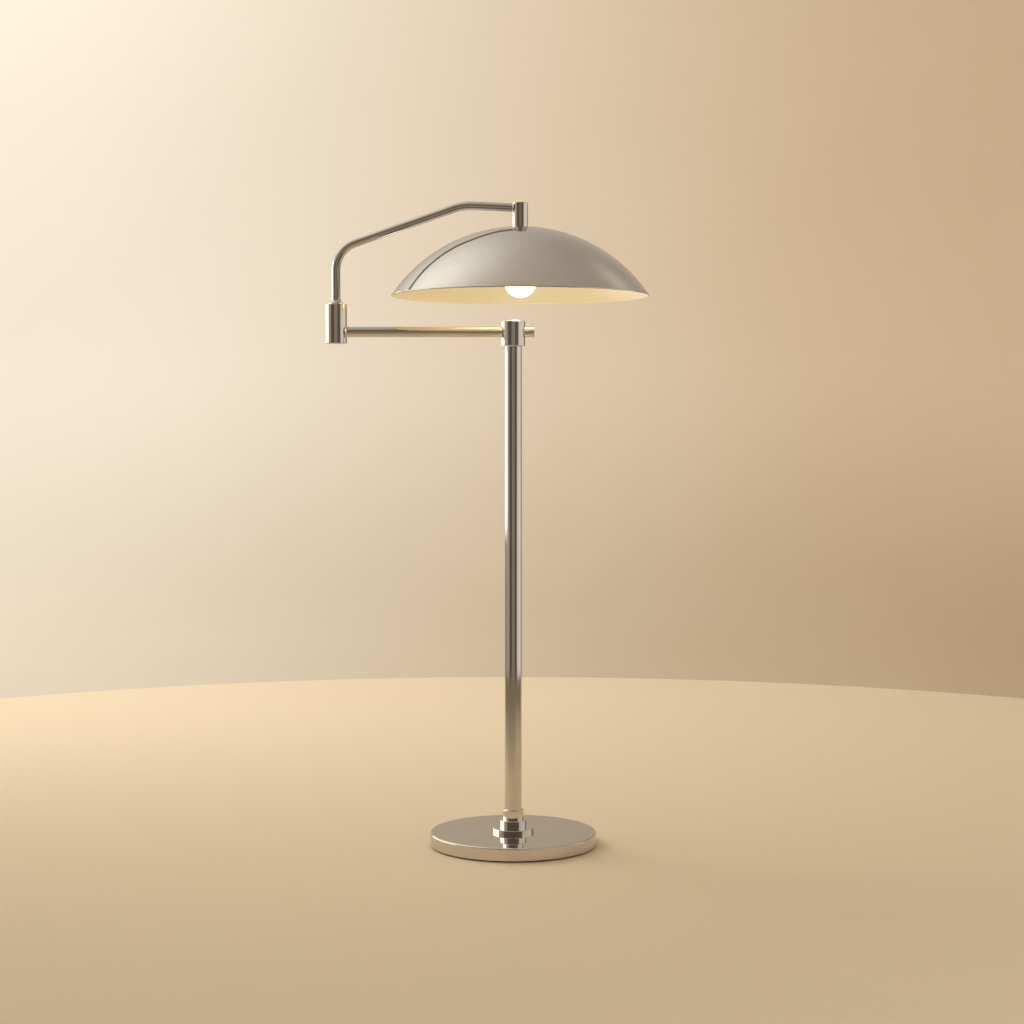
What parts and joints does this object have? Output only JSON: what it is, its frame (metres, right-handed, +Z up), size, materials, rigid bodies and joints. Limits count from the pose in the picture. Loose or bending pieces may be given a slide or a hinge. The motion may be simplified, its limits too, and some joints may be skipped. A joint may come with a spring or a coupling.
{
  "type": "adjustable arm floor lamp",
  "caption": "Floor lamp with a round weighted base, a straight post, a swinging cross arm, a bent upper arm on a knuckle, and a dome shade over a bulb.",
  "frame": {"origin": "on the floor, on the axis of the post", "axes": "+Z up along the post; the arms lie in the XZ plane at rest, with the knuckle on -X; +Y is the back, where the cord inlet is"},
  "size_m": [0.6031, 0.4802, 1.2055],
  "materials": {
    "polished_nickel": "polished nickel-chrome plating",
    "shade_white": "satin white enamel inside the shade",
    "felt": "dark felt",
    "cast_iron": "as cast",
    "black_rubber": "moulded",
    "steel": "zinc plated",
    "nylon": "natural nylon",
    "wire_sleeve": "pvc sleeve",
    "brass": "bright",
    "cap_metal": "drawn",
    "porcelain": "glazed",
    "phenolic": "moulded phenolic",
    "frosted_glass": "frosted white, lit"
  },
  "bodies": {
    "base": {"felt_pad": "felt", "base_cover": "polished_nickel", "base_weight": "cast_iron", "cord_grommet": "black_rubber", "base_washer": "steel", "base_nut": "steel", "base_pipe": "steel", "hub_flange": "polished_nickel", "hub_socket": "polished_nickel", "hub_ring": "polished_nickel", "post_tube": "polished_nickel", "post_bottom_plug": "steel", "post_spindle": "steel", "post_thrust_washer": "nylon", "post_wire": "wire_sleeve"},
    "cross_arm": {"collar_body": "polished_nickel", "collar_bush": "nylon", "collar_retaining_screw": "steel", "arm_lock_screw": "steel", "cross_arm_tube": "polished_nickel", "arm_end_cap": "polished_nickel", "arm_joint_ring": "polished_nickel", "cross_arm_wire": "wire_sleeve", "knuckle_sleeve": "polished_nickel", "knuckle_bottom_cap": "polished_nickel", "knuckle_lower_bush": "nylon", "knuckle_upper_bush": "nylon", "knuckle_friction_washer": "nylon", "knuckle_stop_pin": "steel"},
    "upper_arm": {"knuckle_stop_ring": "steel", "stop_ring_screw": "steel", "upper_arm_tube": "polished_nickel", "arm_ferrule": "polished_nickel", "stem_joint_ring": "polished_nickel", "upper_arm_wire": "wire_sleeve", "stem_body": "polished_nickel", "stem_cap": "polished_nickel", "shade_pipe": "steel", "shade_shell": "polished_nickel", "shade_washer": "steel", "shade_nut": "steel", "lampholder_cap": "brass", "lampholder_shell": "brass", "lampholder_insulator": "porcelain", "screw_shell": "brass", "centre_contact": "brass", "switch_block": "phenolic", "switch_bushing": "brass", "bulb_glass": "frosted_glass", "bulb_cap": "cap_metal", "bulb_contact": "brass"},
    "switch_knob": {"switch_shaft": "brass", "switch_knob": "phenolic"}
  },
  "joints": [
    {"name": "cross_arm_swing", "type": "hinge", "parent": "base", "child": "cross_arm", "pos_m": [0, 0, 0.944], "axis": [0, 0, 1], "range_deg": [-165, 165]},
    {"name": "upper_arm_swing", "type": "hinge", "parent": "cross_arm", "child": "upper_arm", "pos_m": [-0.33, 0, 0.9974], "axis": [0, 0, 1], "range_deg": [-165, 165]},
    {"name": "switch_knob_turn", "type": "hinge", "parent": "upper_arm", "child": "switch_knob", "pos_m": [0.013, 0.0275, 1.139], "axis": [0, 1, 0], "continuous": true}
  ]
}
